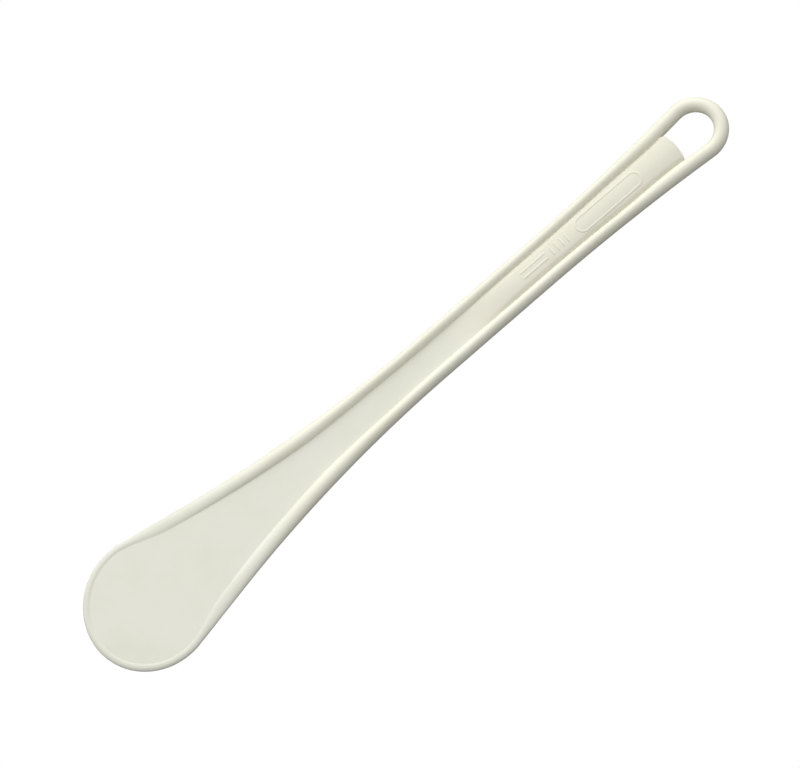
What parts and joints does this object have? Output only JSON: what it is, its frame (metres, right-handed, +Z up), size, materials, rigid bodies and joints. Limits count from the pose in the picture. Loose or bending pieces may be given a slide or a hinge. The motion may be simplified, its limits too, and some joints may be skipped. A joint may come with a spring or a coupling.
{
  "type": "mixing spatula",
  "caption": "Flat round-bladed mixing paddle with beaded edges, a crowned narrow handle and a round-rod hanging loop.",
  "frame": {"origin": "centre of the bounding box in plan, at the lowest point of the beads it lies on", "axes": "+X from the blade towards the hanging loop, +Y across the width, +Z up through the thickness, marked face up"},
  "size_m": [0.3, 0.051, 0.0055],
  "materials": {
    "ivory_web": "satin, lightly frosted mould texture",
    "ivory_bead": "satin, handled smooth"
  },
  "bodies": {
    "root": {"blade_panel": "ivory_web", "tip_edge": "ivory_bead", "left_rim": "ivory_bead", "right_rim": "ivory_bead", "handle_core": "ivory_web", "hang_loop": "ivory_bead", "raised_oval": "ivory_web", "raised_bars": "ivory_web"}
  },
  "joints": []
}
